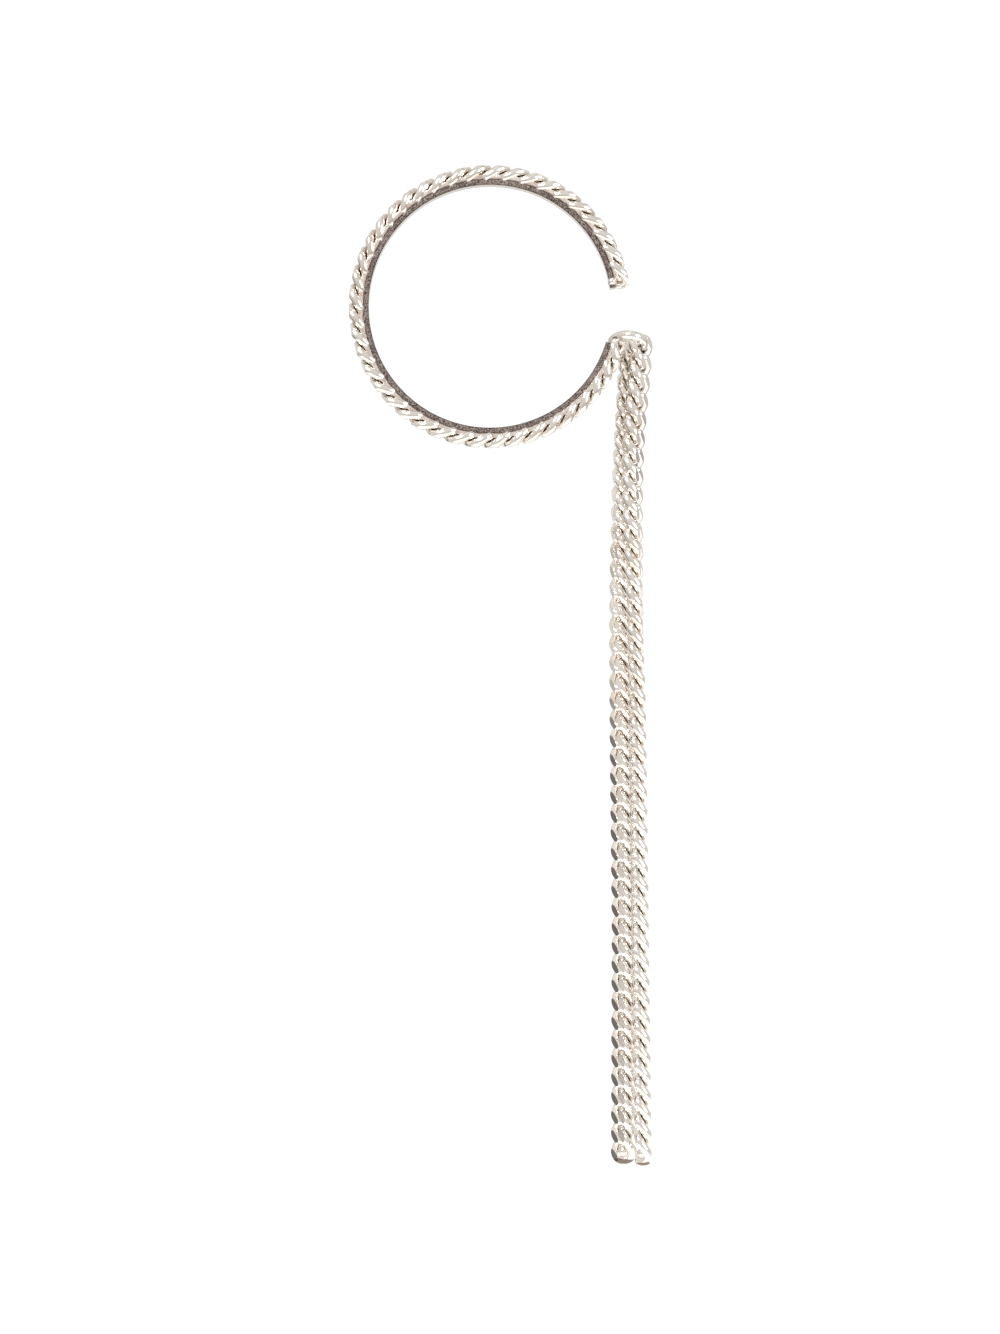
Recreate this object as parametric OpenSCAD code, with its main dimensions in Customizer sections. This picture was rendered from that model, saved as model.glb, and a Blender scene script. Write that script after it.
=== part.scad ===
// Ear chain earring: an open hoop worn round the whole ear, with two curb chains hanging
// from its lower end. The hoop is a flat band with a curb chain soldered round it and an
// end ring soldered to that chain. Millimetres, +Z up. The hoop stands in the XZ plane,
// with its front towards -Y, and the origin is on the band's inner face at the top,
// where the hoop hangs on the root of the ear.

/* [Hoop] */
// Inside diameter of the band, which goes round the ear
hoop_in_d = 51.2; // [46:0.2:60]
// Thickness of the band
band_t = 1.3; // [1:0.1:1.8]
// Width of the band, front to back
band_w = 5; // [3.6:0.1:6]
// Angle of the band's end above the opening, over the horizontal
band_top_deg = 8.5; // [6:0.5:20]
// Angle of the band's end below the opening, under the horizontal
band_low_deg = 17; // [12:1:22]
// Angle of the soldered chain's first link, over the horizontal
chain_top_deg = 16; // [12:1:26]
// Angle of the soldered chain's last link, under the horizontal
chain_low_deg = 20.5; // [18:0.5:26]
// How far the soldered links sink into the band
sink_t = 0.25; // [0.15:0.05:0.5]
// Thickness of the bed of solder between the band and the links
bed_t = 0.9; // [0.4:0.1:1.2]
// Width of the bed of solder, front to back
bed_w = 5.4; // [5:0.1:5.8]
// How far the bed of solder stops short of the band's upper end
bed_short_deg = 3.5; // [0:0.5:6]
// Diameter of the two beads of solder on the corners of the band's upper end
corner_bead_d = 1.8; // [1.4:0.1:2]

/* [Chain] */
// Thickness of the links' wire
wire_d = 1.7; // [1.5:0.05:1.9]
// End play between neighbouring links
link_play = 0.36; // [0.3:0.02:0.44]
// Gap between a link and the next but one
link_gap = 0.24; // [0.2:0.02:0.4]
// Room beside a neighbour's wire in the middle of a link
side_play = 1.1; // [1.05:0.05:1.3]
// Twist of a link from its middle to each end
twist_deg = 52; // [48:1:56]
// Thickness of the chain, whose two sides are filed flat
chain_t = 3.05; // [2.9:0.05:3.6]
// Diameter of the bead of solder that fills each chain's free end
bead_d = 2.5; // [2.3:0.1:2.7]

/* [Drop] */
// Number of links in the right strand
right_links = 43; // [8:1:50]
// Number of links in the left strand
left_links = 43; // [8:1:50]

/* [End ring] */
// Inside length of the end ring, away from the hoop
ring_long = 4.8; // [4.6:0.1:5.4]
// Inside width of the end ring, front to back
ring_wide = 8.8; // [8.6:0.1:9.4]

/* [Hidden] */

pitch = 2 * wire_d + link_play + link_gap;
link_w = 3 * wire_d + side_play;
long_r = (pitch + wire_d + link_play) / 2;
wide_r = (link_w - wire_d) / 2;
fullness = 0.85;
wire_sides = 5;
drop_segments = 12;
hoop_segments = 10;
ring_segments = 14;
band_segments = 120;
edge_on = -90;
bed_lap = 0.1;
bead_segments = 16;
bead_from_end = 1.7;
corner_bead_deg = 3;
corner_bead_in = 0.75;
corner_bead_sink = 0.1;

hoop_in_r = hoop_in_d / 2;
band_out_r = hoop_in_r + band_t;
chain_r = band_out_r + chain_t / 2 - sink_t;
chain_arc = 360 - chain_low_deg - chain_top_deg;
hoop_links = 1 + round(chain_arc * PI / 180 * chain_r / pitch);
band_arc = 360 - band_low_deg - band_top_deg;

// Upper end of the last soldered link, seen from the hoop's centre
last_end = [
    chain_r * cos(chain_low_deg) + long_r * sin(chain_low_deg),
    0,
    long_r * cos(chain_low_deg) - chain_r * sin(chain_low_deg)
];

// The end ring's centre from there and the strands' first links from the ring's centre,
// in wire thicknesses
ring_from_end = [1, 0.32, -0.31];
right_from_ring = [1.63, 0.79, -1.14];
left_from_ring = [-0.08, 2.87, -1.285];
ring_turn = [0, 102.4, 11.6];
ring_roll = 76.2;
ring_at = last_end + ring_from_end * wire_d;
ring_long_r = (ring_long + wire_d) / 2;
ring_wide_r = (ring_wide + wire_d) / 2;
unfiled_t = 2 * (ring_wide_r + wire_d);

// Routes of the strands below their first links: links down, then sideways and back in
// wire thicknesses, then turn
right_route = [
    [0, 0, 0, -119],
    [2, -0.4, -0.65, -118],
    [4, -0.82, -1.2, -115],
    [6, -1.04, -1.5, -111.5],
    [8, -1.05, -1.6, -108],
    [14, -0.68, -1.5, -95],
    [18, -0.48, -1.45, -87],
    [22, -0.38, -1.4, -85],
    [42, 0.2, -1.35, -85]
];
left_route = [
    [0, 0, 0, -85],
    [2, -0.25, 0.02, -88],
    [4, -0.55, 0.05, -88],
    [6, -0.7, 0.08, -84],
    [8, -0.75, 0.1, -79],
    [14, -0.75, 0.1, -65],
    [22, -0.53, 0.1, -58],
    [30, -0.28, 0.1, -56],
    [42, -0.36, 0.1, -56]
];

function signed_power(v, e) = sign(v) * pow(abs(v), e);

// A point on a closed loop's centre line; its ends are twisted against each other
function loop_at(t, long_r, wide_r, twist, full) =
    let (
        z = long_r * signed_power(cos(t), full),
        r = wide_r * signed_power(sin(t), full),
        turn = -twist * z / long_r
    )
    [r * cos(turn), r * sin(turn), z];

function unit(v) = v / norm(v);

// A ring of points round the wire, held within half the filed thickness
function wire_ring(before, at, after, filed_t) =
    let (
        along = unit(after - before),
        out = unit(at - along * (at * along)),
        side = cross(along, out)
    )
    [for (j = [0:wire_sides - 1])
        let (
            a = 360 * j / wire_sides,
            p = at + wire_d / 2 * (cos(a) * out + sin(a) * side)
        )
        [p[0], max(-filed_t / 2, min(filed_t / 2, p[1])), p[2]]];

module wire_loop(long_r, wide_r, twist, full, segments, filed_t) {
    step = 360 / segments;
    rings = [for (i = [0:segments - 1])
        wire_ring(
            loop_at((i - 1) * step, long_r, wide_r, twist, full),
            loop_at(i * step, long_r, wide_r, twist, full),
            loop_at((i + 1) * step, long_r, wide_r, twist, full),
            filed_t
        )];
    points = [for (ring = rings, p = ring) p];
    faces = [
        for (i = [0:segments - 1], j = [0:wire_sides - 1])
            let (
                next_i = (i + 1) % segments,
                next_j = (j + 1) % wire_sides,
                a = i * wire_sides + j,
                b = i * wire_sides + next_j,
                c = next_i * wire_sides + next_j,
                d = next_i * wire_sides + j
            )
            each [[a, c, b], [a, d, c]]
    ];
    polyhedron(points, faces);
}

module link(segments) {
    wire_loop(long_r, wide_r, twist_deg, fullness, segments, chain_t);
}

// Fills the lower end of a link
module end_bead() {
    translate([0, 0, bead_from_end - long_r])
        sphere(d = bead_d, $fn = bead_segments);
}

// A strip bent round the ear, which may stop short of the band's upper end
module bent_strip(in_r, thickness, width, short_deg = 0) {
    rotate([90, 0, 0])
        rotate([0, 0, band_top_deg + short_deg])
        rotate_extrude(angle = band_arc - short_deg, $fn = band_segments)
        translate([in_r, -width / 2])
        square([thickness, width]);
}

module band() {
    color("dimgray")
        bent_strip(hoop_in_r, band_t, band_w);
}

module solder_bed() {
    color("silver")
        bent_strip(band_out_r - bed_lap, bed_t + bed_lap, bed_w, bed_short_deg);
}

module hoop_chain() {
    for (i = [0:hoop_links - 1]) {
        angle = chain_top_deg + i * chain_arc / (hoop_links - 1);
        color("silver")
            rotate([0, -angle, 0])
            translate([chain_r, 0, 0])
            rotate([0, 0, edge_on]) {
                link(hoop_segments);
                if (i == 0) end_bead();
            }
    }
}

// Close the band's upper end, at its front and its back
module corner_beads() {
    for (side = [-1, 1])
        color("silver")
            rotate([0, -band_top_deg - corner_bead_deg, 0])
            translate([
                hoop_in_r + corner_bead_in,
                side * (band_w / 2 - corner_bead_sink),
                0
            ])
            sphere(d = corner_bead_d, $fn = bead_segments);
}

module end_ring() {
    color("silver")
        translate(ring_at)
        rotate(ring_turn)
        rotate([0, 0, ring_roll])
        wire_loop(ring_long_r, ring_wide_r, 0, 1, ring_segments, unfiled_t);
}

module ear_hoop() {
    translate([0, 0, -hoop_in_r])
        union() {
            band();
            solder_bed();
            hoop_chain();
            corner_beads();
            end_ring();
        }
}

// Value of one column of a route, at a number of links down from its first, with its
// corners eased over a link either side
function route_value(route, column, i) =
    let (table = [for (row = route) [row[0], row[column]]])
    (lookup(i - 1, table) + 2 * lookup(i, table) + lookup(i + 1, table)) / 4;

module strand(start, route, links) {
    for (i = [0:links - 1]) {
        above = max(0, i - 0.5);
        below = i + 0.5;
        drop = (below - above) * pitch / wire_d;
        lean = -atan((route_value(route, 1, below) - route_value(route, 1, above)) / drop);
        dip = atan((route_value(route, 2, below) - route_value(route, 2, above)) / drop);
        aside = [route_value(route, 1, i), route_value(route, 2, i), 0] * wire_d;
        translate(start + aside - [0, 0, i * pitch])
            rotate([0, lean, 0])
            rotate([dip, 0, 0])
            rotate([0, 0, route_value(route, 3, i)]) {
                link(drop_segments);
                if (i == links - 1) end_bead();
            }
    }
}

module right_strand() {
    color("silver")
        translate([0, 0, -hoop_in_r])
        strand(ring_at + right_from_ring * wire_d, right_route, right_links);
}

module left_strand() {
    color("silver")
        translate([0, 0, -hoop_in_r])
        strand(ring_at + left_from_ring * wire_d, left_route, left_links);
}

ear_hoop();
right_strand();
left_strand();
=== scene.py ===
import math

import bmesh
import bpy
from mathutils import Matrix, Vector


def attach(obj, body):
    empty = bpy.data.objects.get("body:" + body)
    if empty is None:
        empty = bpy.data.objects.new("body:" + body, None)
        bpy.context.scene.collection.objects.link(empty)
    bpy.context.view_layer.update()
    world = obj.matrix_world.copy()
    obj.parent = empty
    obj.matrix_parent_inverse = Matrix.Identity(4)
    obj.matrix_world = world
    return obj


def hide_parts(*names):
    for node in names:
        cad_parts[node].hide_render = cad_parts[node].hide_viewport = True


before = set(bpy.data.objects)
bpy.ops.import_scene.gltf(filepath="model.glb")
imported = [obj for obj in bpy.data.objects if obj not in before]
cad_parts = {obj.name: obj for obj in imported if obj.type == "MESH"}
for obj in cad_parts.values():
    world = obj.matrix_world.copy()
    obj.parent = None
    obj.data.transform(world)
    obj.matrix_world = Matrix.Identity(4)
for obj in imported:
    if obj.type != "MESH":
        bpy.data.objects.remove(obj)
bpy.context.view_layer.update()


# Band: a flat strip of silver-plated brass, bent round the whole ear and left open in front
# of it. Its wide faces are polished, and its two edges are left with a dark, sandy grain,
# which painted shade darkens further towards their rims.
metre = 1000
hoop_in_r = 25.6
band_t = 1.3
band_w = 5
band_top_deg = 8.5
band_low_deg = 17
band_corner_r = 0.14
band_corner_steps = 3
band_steps = 180
sharp_radians = 0.8
hoop_centre = Vector((0, 0, -hoop_in_r))

bright_silver = (0.92, 0.88, 0.83, 1)
warm_silver = (0.87, 0.79, 0.72, 1)
edge_brown = (0.06, 0.046, 0.04, 1)
edge_grey = (0.33, 0.275, 0.25, 1)
edge_inset = 0.1
edge_inset_full = 0.04
edge_shade_from = 0.3
edge_shade_to = 0.55
edge_rim_shade_depth = 0.6
edge_rough = 0.36
polish_rough = 0.06
streak_rough = 0.12
grain_scale = 5400
grain_depth = 0.08
patch_scale = 240
streak_scale = (120, 5200, 120)


class Shade:
    """A socket of a shader tree. Python's operators on it add Math nodes."""

    def __init__(self, tree, socket=None):
        self.tree = tree
        self.socket = socket

    def node(self, kind, sockets=None, out=0, **settings):
        """Adds a node with these settings and sockets, and returns one of its outputs."""
        made = self.tree.nodes.new("ShaderNode" + kind)
        for name, value in settings.items():
            setattr(made, name, value)
        for name, value in (sockets or {}).items():
            if isinstance(value, Shade):
                self.tree.links.new(value.socket, made.inputs[name])
            else:
                made.inputs[name].default_value = value
        return Shade(self.tree, made.outputs[out] if made.outputs else None)

    def math(self, operation, *values):
        return self.node("Math", dict(enumerate(values)), operation=operation)

    def __add__(self, other):
        return self.math("ADD", self, other)

    def __sub__(self, other):
        return self.math("SUBTRACT", self, other)

    def __rsub__(self, other):
        return self.math("SUBTRACT", other, self)

    def __mul__(self, other):
        return self.math("MULTIPLY", self, other)

    __radd__ = __add__
    __rmul__ = __mul__

    def rise(self, low, high):
        """0 below low, 1 above high and smooth between."""
        return self.node(
            "MapRange",
            {"Value": self, "From Min": low, "From Max": high},
            interpolation_type="SMOOTHSTEP",
        )

    def blend(self, a, b):
        """Colour a where self is 0 and colour b where it is 1."""
        return self.node(
            "Mix", {0: self, 6: a, 7: b}, out=2, data_type="RGBA", clamp_factor=True
        )


def new_material(name):
    """A material with an empty tree, and the tree's first Shade."""
    material = bpy.data.materials.new(name)
    material.use_nodes = True
    material.node_tree.nodes.clear()
    return material, Shade(material.node_tree)


def finish_metal(start, colour, roughness, height, depth):
    """Ends a metal's tree: its colour, roughness and fine relief of this depth."""
    normal = start.node(
        "Bump", {"Strength": 1.0, "Distance": depth / metre, "Height": height}
    )
    metal = start.node(
        "BsdfPrincipled",
        {"Base Color": colour, "Metallic": 1.0, "Roughness": roughness, "Normal": normal},
    )
    start.node("OutputMaterial", {"Surface": metal})


def finish_piece(name, bm, material, node):
    """Makes an object of a mesh in millimetres and stands it in for a CAD node."""
    bmesh.ops.recalc_face_normals(bm, faces=bm.faces[:])
    bmesh.ops.scale(bm, vec=(1 / metre,) * 3, verts=bm.verts[:])
    for face in bm.faces:
        face.smooth = True
    mesh = bpy.data.meshes.new(name)
    bm.to_mesh(mesh)
    bm.free()
    mesh.materials.append(material)
    piece = bpy.data.objects.new(name, mesh)
    bpy.context.scene.collection.objects.link(piece)
    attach(piece, "root")
    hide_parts(node)


def from_axis(start, place):
    """Distance of a place from the hoop's axis."""
    flat = start.node("VectorMath", {0: place, 1: (1, 0, 1)}, operation="MULTIPLY")
    centre = (0, 0, -hoop_in_r / metre)
    return start.node("VectorMath", {0: flat, 1: centre}, operation="DISTANCE", out="Value")


band_metal, start = new_material("band_metal")
place = start.node("TexCoord", out="Object")
front_to_back = start.node("SeparateXYZ", {"Vector": place}, out="Y")
on_edge = start.math("ABSOLUTE", front_to_back).rise(
    (band_w / 2 - edge_inset) / metre, (band_w / 2 - edge_inset_full) / metre
)
grain = start.node("TexNoise", {"Vector": place, "Scale": grain_scale, "Detail": 2.0})
patch = start.node("TexNoise", {"Vector": place, "Scale": patch_scale, "Detail": 2.0})
around = start.node("Mapping", {"Vector": place, "Scale": streak_scale})
streaks = start.node("TexNoise", {"Vector": around, "Scale": 1.0, "Detail": 4.0})
polished = (streaks * 0.5 + patch * 0.5).rise(0.35, 0.7).blend(bright_silver, warm_silver)
off_middle = start.math(
    "ABSOLUTE", from_axis(start, place) - (hoop_in_r + band_t / 2) / metre
)
# Painted shade: the edges' sandy colour turns darker towards their inner and outer rims.
rim_shade = off_middle.rise(edge_shade_from / metre, edge_shade_to / metre)
sand_and_rim_shade = (grain * 0.85 + patch * 0.15).rise(0.42, 0.6) * (1 - rim_shade * edge_rim_shade_depth)
finish_metal(
    start,
    on_edge.blend(polished, sand_and_rim_shade.blend(edge_brown, edge_grey)),
    on_edge * edge_rough + (streaks * streak_rough + polish_rough),
    on_edge * grain + streaks * 0.1,
    grain_depth,
)


def bent_strip(in_r, thickness, width, short_deg=0):
    """A strip bent round the ear between the hoop's two ends, with its corners eased."""
    bm = bmesh.new()
    bmesh.ops.create_grid(bm, x_segments=1, y_segments=1, size=0.5)
    bmesh.ops.scale(bm, vec=(thickness, width, 1), verts=bm.verts[:])
    bmesh.ops.translate(bm, vec=(in_r + thickness / 2, 0, 0), verts=bm.verts[:])
    bmesh.ops.rotate(
        bm,
        matrix=Matrix.Rotation(math.radians(-band_top_deg - short_deg), 3, "Y"),
        verts=bm.verts[:],
    )
    bmesh.ops.spin(
        bm,
        geom=bm.faces[:],
        axis=(0, -1, 0),
        angle=math.radians(360 - band_top_deg - band_low_deg - short_deg),
        steps=band_steps,
    )
    bmesh.ops.recalc_face_normals(bm, faces=bm.faces[:])
    corners = [
        edge
        for edge in bm.edges
        if edge.is_manifold and edge.calc_face_angle() > sharp_radians
    ]
    bmesh.ops.bevel(
        bm,
        geom=corners,
        offset=band_corner_r,
        offset_type="OFFSET",
        segments=band_corner_steps,
        profile=0.5,
        affect="EDGES",
        material=-1,
    )
    bmesh.ops.translate(bm, vec=hoop_centre, verts=bm.verts[:])
    return bm


band = bent_strip(hoop_in_r, band_t, band_w)
finish_piece("band", band, band_metal, "ear_hoop")


# Solder bed: a bright run of silver solder between the band and the foot of its chain. It
# stands a little proud of the band's dark edges and stops short of the band's upper end.
bed_t = 0.9
bed_w = 5.4
bed_lap = 0.1
bed_short_deg = 3.5

solder_silver = (0.88, 0.83, 0.78, 1)
flux_brown = (0.66, 0.535, 0.465, 1)
seam_brown = (0.32, 0.235, 0.195, 1)
seam_from = -0.05
seam_to = 0.2
seam_wander = 0.6
solder_rough = 0.12
flow_rough = 0.2
flow_scale = 700
flow_depth = 0.15
pit_scale = 4200

bed_metal, start = new_material("bed_metal")
place = start.node("TexCoord", out="Object")
flow = start.node("TexNoise", {"Vector": place, "Scale": flow_scale, "Detail": 3.0})
pits = start.node("TexNoise", {"Vector": place, "Scale": pit_scale, "Detail": 2.0})
up_the_bed = from_axis(start, place) - (hoop_in_r + band_t) / metre
wavy = up_the_bed + (flow - 0.5) * (seam_wander / metre)
seam = 1 - wavy.rise(seam_from / metre, seam_to / metre)
finish_metal(
    start,
    seam.blend(flow.rise(0.42, 0.66).blend(solder_silver, flux_brown), seam_brown),
    flow * flow_rough + solder_rough,
    flow + pits * 0.3,
    flow_depth,
)

bed = bent_strip(hoop_in_r + band_t - bed_lap, bed_t + bed_lap, bed_w, bed_short_deg)
finish_piece("solder_bed", bed, bed_metal, "ear_hoop")


# Hoop chain: a curb chain of silver-plated round wire, laid edge on round the outside of
# the band and soldered down. Each link is an oval, twisted a little over a quarter turn and
# filed flat on both sides. wire_r is 0.1 mm more than half of the solids' wire_d.
wire_d = 1.7
wire_r = 0.95
link_play = 0.36
link_gap = 0.24
side_play = 1.1
twist_deg = 52
chain_t = 3.05
chain_top_deg = 16
chain_low_deg = 20.5
sink_t = 0.25
edge_on = -90
fullness = 0.85
wire_steps = 36
file_lean_deg = 5
file_at = 0.65
wire_sides = 14
bead_d = 2.5
bead_from_end = 1.7
bead_subdivisions = 3
same_point = 0.0001
pitch = 2 * wire_d + link_play + link_gap
long_r = (pitch + wire_d + link_play) / 2
wide_r = (2 * wire_d + side_play) / 2
chain_r = hoop_in_r + band_t + chain_t / 2 - sink_t
chain_arc = 360 - chain_low_deg - chain_top_deg
hoop_links = 1 + round(math.radians(chain_arc) * chain_r / pitch)

dull_silver = (0.855, 0.815, 0.765, 1)
dull_warm = (0.8, 0.725, 0.655, 1)
# Brown for real tarnish, for painted shade in the creases between links, and for a painted
# dark reflection at a strand's foot.
tarnish_and_painted_dark_brown = (0.22, 0.175, 0.145, 1)
tarnish_and_painted_dark_rough = 0.2
shelter_reach = 0.5
shelter_samples = 8
foot_wander = 1.2
foot_fade_down = 0.1
foot_fade_up = 0.2
no_foot = -1000
wander_scale = 900
wander_rough = 0.08
line_scale = (4, 4, 0.35)
line_rough = 0.12
line_depth = 0.03


def silver_metal(name, light, warm, foot=no_foot):
    """Polished silver plate, turned brown by tarnish and painted shade where links shelter
    it, and by a painted dark reflection below its foot's height.
    """
    metal, start = new_material(name)
    place = start.node("TexCoord", out="Object")
    wire = start.node("Attribute", out="Vector", attribute_name="wire")
    of_link = start.node("NewGeometry", out="Random Per Island")
    open_air = start.node(
        "AmbientOcclusion",
        {"Distance": shelter_reach / metre},
        out="AO",
        samples=shelter_samples,
    )
    wander = start.node(
        "TexNoise", {"Vector": place, "Scale": wander_scale, "Detail": 3.0}
    )
    drawn = start.node("Mapping", {"Vector": wire, "Scale": line_scale})
    lines = start.node("TexNoise", {"Vector": drawn, "Scale": 1.0, "Detail": 4.0})
    tint = (wander * 0.6 + of_link * 0.4).rise(0.3, 0.8)
    # Painted shade together with tarnish: the ambient occlusion turns the colour brown where
    # neighbouring links block the light.
    tarnish_and_crease_shade = 1 - (open_air + (wander - 0.5) * 0.25).rise(0.05, 0.4)
    height = start.node("SeparateXYZ", {"Vector": place}, out="Z")
    uneven = height + (wander - 0.5) * (foot_wander / metre)
    # Painted dark reflection: below the foot's height the links turn brown, standing in for
    # the dark that their lower ends reflect.
    painted_dark_reflection = 1 - uneven.rise(
        (foot - foot_fade_down) / metre, (foot + foot_fade_up) / metre
    )
    tarnish_and_painted_dark = start.math("MAXIMUM", tarnish_and_crease_shade, painted_dark_reflection)
    finish_metal(
        start,
        tarnish_and_painted_dark.blend(tint.blend(light, warm), tarnish_and_painted_dark_brown),
        lines * line_rough + wander * wander_rough + tarnish_and_painted_dark * tarnish_and_painted_dark_rough,
        lines * 0.6 + wander * 0.4,
        line_depth,
    )
    return metal


def oval_path(long_r, wide_r, twist_deg, fullness, steps):
    """Points round an upright oval whose two ends are twisted against each other."""

    def bow(v):
        return math.copysign(abs(v) ** fullness, v)

    points = []
    for step in range(steps):
        t = 2 * math.pi * step / steps
        up = bow(math.cos(t))
        turn = math.radians(-twist_deg * up)
        out = wide_r * bow(math.sin(t))
        points.append(Vector((out * math.cos(turn), out * math.sin(turn), long_r * up)))
    return points


def closed_wire(points, wire_r):
    """Round wire along a closed path, with its place on the wire kept as an attribute."""
    bm = bmesh.new()
    on_wire = bm.verts.layers.float_vector.new("wire")
    rings = []
    for step, at in enumerate(points):
        along = (points[(step + 1) % len(points)] - points[step - 1]).normalized()
        out = (at - along * at.dot(along)).normalized()
        turn = Matrix((out, along.cross(out), along)).transposed().to_4x4()
        ring = bmesh.ops.create_circle(
            bm,
            segments=wire_sides,
            radius=wire_r,
            matrix=Matrix.Translation(at) @ turn,
        )["verts"]
        for vert in ring:
            round_it = turn.to_3x3().transposed() @ (vert.co - at) / wire_r
            vert[on_wire] = (round_it.x, round_it.y, at.z)
        rings.append(list({edge for vert in ring for edge in vert.link_edges}))
    for ring, following in zip(rings, rings[1:] + rings[:1]):
        bmesh.ops.bridge_loops(bm, edges=ring + following)
    bmesh.ops.recalc_face_normals(bm, faces=bm.faces[:])
    return bm


def file_flat(bm, thickness):
    """Files both sides of a link, a flat at each end that leans a little towards it."""
    lean = math.radians(file_lean_deg)
    for side, end in ((-1, -1), (-1, 1), (1, -1), (1, 1)):
        cut = bmesh.ops.bisect_plane(
            bm,
            geom=bm.verts[:] + bm.edges[:] + bm.faces[:],
            dist=same_point,
            plane_co=(0, side * thickness / 2, end * file_at * long_r),
            plane_no=(0, side * math.cos(lean), end * math.sin(lean)),
            clear_outer=True,
        )
        rim = [e for e in cut["geom_cut"] if isinstance(e, bmesh.types.BMEdge)]
        bmesh.ops.edgeloop_fill(bm, edges=rim)
        for edge in rim:
            edge.smooth = False


def link_mesh():
    """One link of the chain, upright at the origin."""
    bm = closed_wire(oval_path(long_r, wide_r, twist_deg, fullness, wire_steps), wire_r)
    file_flat(bm, chain_t)
    mesh = bpy.data.meshes.new("link")
    bm.to_mesh(mesh)
    bm.free()
    return mesh


def chain_of(link, places, end):
    """The link at each of these places, and a bead of solder in the one at the free end."""
    bm = bmesh.new()
    bead_at = Matrix.Translation((0, 0, bead_from_end - long_r))
    bmesh.ops.create_icosphere(
        bm, subdivisions=bead_subdivisions, radius=bead_d / 2, matrix=end @ bead_at
    )
    for place in places:
        held = len(bm.verts)
        bm.from_mesh(link)
        bm.verts.ensure_lookup_table()
        bmesh.ops.transform(bm, matrix=place, verts=bm.verts[held:])
    return bm


def turned(degrees, axis):
    return Matrix.Rotation(math.radians(degrees), 4, axis)


hoop_metal = silver_metal("hoop_chain_metal", dull_silver, dull_warm)
link = link_mesh()
places = []
for i in range(hoop_links):
    angle = chain_top_deg + i * chain_arc / (hoop_links - 1)
    places.append(
        Matrix.Translation(hoop_centre)
        @ turned(-angle, "Y")
        @ Matrix.Translation((chain_r, 0, 0))
        @ turned(edge_on, "Z")
    )
finish_piece(
    "hoop_chain", chain_of(link, places, places[0]), hoop_metal, "ear_hoop"
)


# Corner beads: two small drops of solder that close the band's upper end, one at its front
# corner and one at its back corner.
corner_bead_d = 1.8
corner_bead_deg = 3
corner_bead_in = 0.75
corner_bead_sink = 0.1

corners = bmesh.new()
for corner_side in (-1, 1):
    bmesh.ops.create_icosphere(
        corners,
        subdivisions=bead_subdivisions,
        radius=corner_bead_d / 2,
        matrix=Matrix.Translation(hoop_centre)
        @ turned(-band_top_deg - corner_bead_deg, "Y")
        @ Matrix.Translation(
            (hoop_in_r + corner_bead_in, corner_side * (band_w / 2 - corner_bead_sink), 0)
        ),
    )
finish_piece("corner_beads", corners, hoop_metal, "ear_hoop")


# End ring: a long closed ring of the same wire, soldered to the last link of the hoop's
# chain. It reaches back behind the hoop's end, and both strands hang from it.
ring_long_r = 3.25
ring_wide_r = 5.25
ring_steps = 48
ring_turn = (0, 102.4, 11.6)
ring_roll = 76.2
ring_from_end = Vector((1, 0.32, -0.31)) * wire_d
last_end = Vector(
    (
        chain_r * math.cos(math.radians(chain_low_deg))
        + long_r * math.sin(math.radians(chain_low_deg)),
        0,
        long_r * math.cos(math.radians(chain_low_deg))
        - chain_r * math.sin(math.radians(chain_low_deg)),
    )
)
ring_at = hoop_centre + last_end + ring_from_end

ring = closed_wire(oval_path(ring_long_r, ring_wide_r, 0, 1, ring_steps), wire_r)
bmesh.ops.transform(
    ring,
    matrix=Matrix.Translation(ring_at)
    @ turned(ring_turn[2], "Z")
    @ turned(ring_turn[1], "Y")
    @ turned(ring_turn[0], "X")
    @ turned(ring_roll, "Z"),
    verts=ring.verts[:],
)
finish_piece("end_ring", ring, hoop_metal, "ear_hoop")


# Right strand: 43 loose links of the same curb chain, hanging from the front of the end
# ring and seen almost edge on. A route's rows give links down, then sideways and back in
# wire thicknesses, then the turn in degrees.
right_from_ring = Vector((1.63, 0.79, -1.14)) * wire_d
right_links = 43
right_route = [
    (0, 0, 0, -119),
    (2, -0.4, -0.65, -118),
    (4, -0.82, -1.2, -115),
    (6, -1.04, -1.5, -111.5),
    (8, -1.05, -1.6, -108),
    (14, -0.68, -1.5, -95),
    (18, -0.48, -1.45, -87),
    (22, -0.38, -1.4, -85),
    (42, 0.2, -1.35, -85),
]


def route_at(route, column, i):
    """A column of a route at i links down, with its corners eased over a link either side."""

    def straight(i):
        i = min(max(i, route[0][0]), route[-1][0])
        for above, below in zip(route, route[1:]):
            if i <= below[0]:
                share = (i - above[0]) / (below[0] - above[0])
                return above[column] + share * (below[column] - above[column])

    return (straight(i - 1) + 2 * straight(i) + straight(i + 1)) / 4


def strand_places(first, route, links):
    """Where each link of a hanging strand is, leaning as the strand does there."""
    places = []
    for i in range(links):
        above, below = max(0, i - 0.5), i + 0.5
        drop = (below - above) * pitch / wire_d
        aside = (route_at(route, 1, below) - route_at(route, 1, above)) / drop
        back = (route_at(route, 2, below) - route_at(route, 2, above)) / drop
        down = Vector(
            (route_at(route, 1, i) * wire_d, route_at(route, 2, i) * wire_d, -i * pitch)
        )
        places.append(
            Matrix.Translation(first + down)
            @ Matrix.Rotation(-math.atan(aside), 4, "Y")
            @ Matrix.Rotation(math.atan(back), 4, "X")
            @ turned(route_at(route, 3, i), "Z")
        )
    return places


# Below this height the right strand's last link gets a painted dark reflection.
right_foot = -206.3
right_metal = silver_metal("right_strand_metal", dull_silver, dull_warm, right_foot)
right_places = strand_places(ring_at + right_from_ring, right_route, right_links)
right_chain = chain_of(link, right_places, right_places[-1])
finish_piece("right_chain", right_chain, right_metal, "right_strand")


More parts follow.
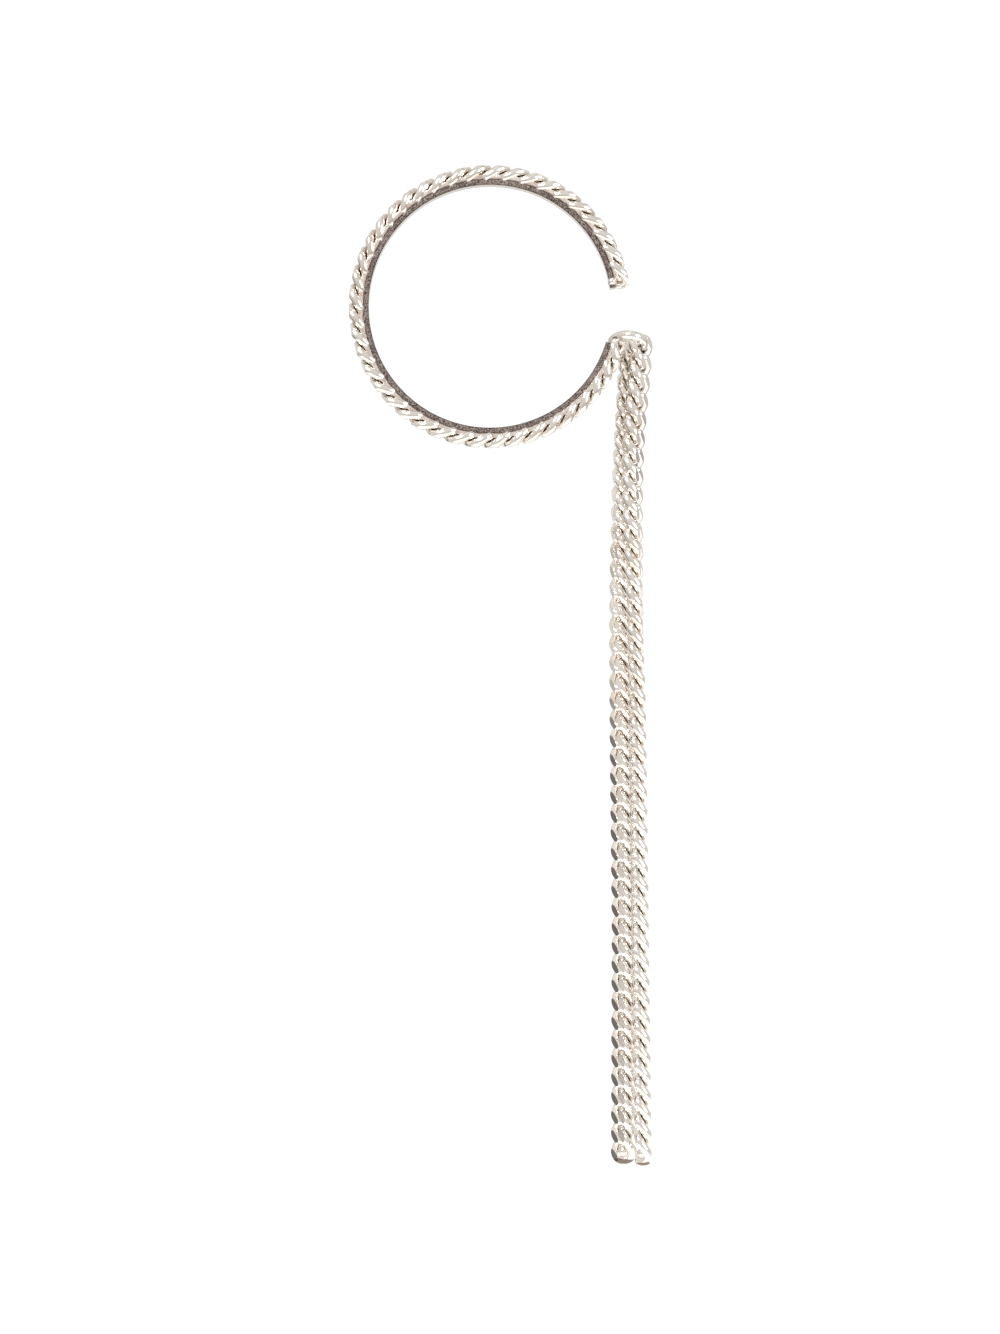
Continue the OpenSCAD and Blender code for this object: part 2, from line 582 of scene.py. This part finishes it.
# Left strand: the second strand of 43 links, hung behind the first on the end ring. It
# turns more of its width to the front, so the filed flats of its left side show.
left_from_ring = Vector((-0.08, 2.87, -1.285)) * wire_d
left_links = 43
left_route = [
    (0, 0, 0, -85),
    (2, -0.25, 0.02, -88),
    (4, -0.55, 0.05, -88),
    (6, -0.7, 0.08, -84),
    (8, -0.75, 0.1, -79),
    (14, -0.75, 0.1, -65),
    (22, -0.53, 0.1, -58),
    (30, -0.28, 0.1, -56),
    (42, -0.36, 0.1, -56),
]
# Below this height the left strand's last link gets a painted dark reflection.
left_foot = -206.2
left_metal = silver_metal("left_strand_metal", bright_silver, warm_silver, left_foot)
left_places = strand_places(ring_at + left_from_ring, left_route, left_links)
left_chain = chain_of(link, left_places, left_places[-1])
finish_piece("left_chain", left_chain, left_metal, "left_strand")


# Studio: a pale floor far below the earring, two round lamps, and a white room. Its dark
# flags, behind the object and at its sides, are mirrored by the metal and draw its edges.
floor_z = -330
floor_half = 420
floor_cells = 8
floor_rough = 0.6
floor_glow = 0.22
floor_white = (0.92, 0.92, 0.91, 1)
floor_pale = (0.94, 0.94, 0.93, 1)
light_white = (1, 0.99, 0.98, 1)
light_warm = (1, 0.95, 0.9, 1)
room_white = (1, 1, 1, 1)
room_light = 0.8
room_shown = 1.05
aim_at = Vector((0, 0, -100))

floor_paint, start = new_material("floor_paint")
place = start.node("TexCoord", out="Object")
mottle = start.node("TexNoise", {"Vector": place, "Scale": 6.0, "Detail": 3.0})
paint = start.node(
    "BsdfPrincipled",
    {
        "Base Color": mottle.rise(0.3, 0.7).blend(floor_white, floor_pale),
        "Roughness": mottle * 0.1 + floor_rough,
        "Emission Color": light_white,
        "Emission Strength": floor_glow,
    },
)
start.node("OutputMaterial", {"Surface": paint})

floor = bmesh.new()
bmesh.ops.create_grid(
    floor, x_segments=floor_cells, y_segments=floor_cells, size=floor_half
)
bmesh.ops.translate(floor, vec=(0, 0, floor_z), verts=floor.verts[:])
bmesh.ops.scale(floor, vec=(1 / metre,) * 3, verts=floor.verts[:])
floor_mesh = bpy.data.meshes.new("floor")
floor.to_mesh(floor_mesh)
floor.free()
floor_mesh.materials.append(floor_paint)
floor_object = bpy.data.objects.new("floor", floor_mesh)
bpy.context.scene.collection.objects.link(floor_object)

room = bpy.data.worlds.new("studio_room")
bpy.context.scene.world = room
room.use_nodes = True
room.node_tree.nodes.clear()
start = Shade(room.node_tree)
towards = start.node("TexCoord", out="Generated")
side = start.node("SeparateXYZ", {"Vector": towards}, out="X")
behind = start.node("SeparateXYZ", {"Vector": towards}, out="Y")
above = start.node("SeparateXYZ", {"Vector": towards}, out="Z")
bearing = start.math("ARCTAN2", side, behind) * (180 / math.pi)


def flag(bearing, centre, half, soft):
    """1 inside a dark flag that stands at this bearing in degrees, and 0 outside it."""
    off = bearing.math("ABSOLUTE", bearing - centre)
    return 1 - off.rise(half, half + soft)


dark = flag(bearing, -68, 8, 7) * 0.78 * (1 - above.rise(-0.04, 0.06))
for centre, half, soft, darkness in ((-36, 3, 5, 0.4), (42, 4, 6, 0.4), (128, 4, 5, 0.5)):
    dark = dark.math("MAXIMUM", dark, flag(bearing, centre, half, soft) * darkness)
dark = dark.math("MAXIMUM", dark, (1 - above.rise(-0.5, -0.15)) * 0.2)
lit = (1 - dark) * (above * 0.12 + 0.98)
seen = start.node("LightPath", out="Is Camera Ray")
shown = start.node("Background", {"Color": room_white, "Strength": room_shown})
around_it = start.node(
    "Background",
    {
        "Color": above.rise(-0.6, 0.6).blend(light_warm, light_white),
        "Strength": lit * room_light,
    },
)
start.node(
    "OutputWorld",
    {"Surface": start.node("MixShader", {0: seen, 1: around_it, 2: shown})},
)

for name, spot, size, power in (
    ("key_light", (-420, -650, 480), 420, 4.5),
    ("fill_light", (560, -520, 60), 520, 2.5),
):
    lamp = bpy.data.lights.new(name, "AREA")
    lamp.shape = "DISK"
    lamp.size = size / metre
    lamp.energy = power
    light = bpy.data.objects.new(name, lamp)
    light.location = Vector(spot) / metre
    aim = aim_at - Vector(spot)
    light.rotation_euler = aim.to_track_quat("-Z", "Y").to_euler()
    bpy.context.scene.collection.objects.link(light)


# Camera: level with the middle of the photograph's frame and square to the hoop, with a
# long lens. One pixel of the photograph is 0.2114 mm on the object.
pixel = 0.2114
frame_height_px = 1334
centre_right_px = 10
centre_down_px = 360
lens = 135
sensor = 36
far_clip_m = 20
frame_centre = Vector((centre_right_px * pixel, 0, -centre_down_px * pixel - hoop_in_r))
distance = frame_height_px * pixel * lens / sensor

camera_data = bpy.data.cameras.new("camera")
camera_data.lens = lens
camera_data.sensor_width = sensor
camera_data.sensor_fit = "AUTO"
camera_data.clip_end = far_clip_m
camera = bpy.data.objects.new("camera", camera_data)
camera.location = (frame_centre - Vector((0, distance, 0))) / metre
camera.rotation_euler = (math.radians(90), 0, 0)
bpy.context.scene.collection.objects.link(camera)
bpy.context.scene.camera = camera
bpy.context.scene.view_settings.view_transform = "Standard"
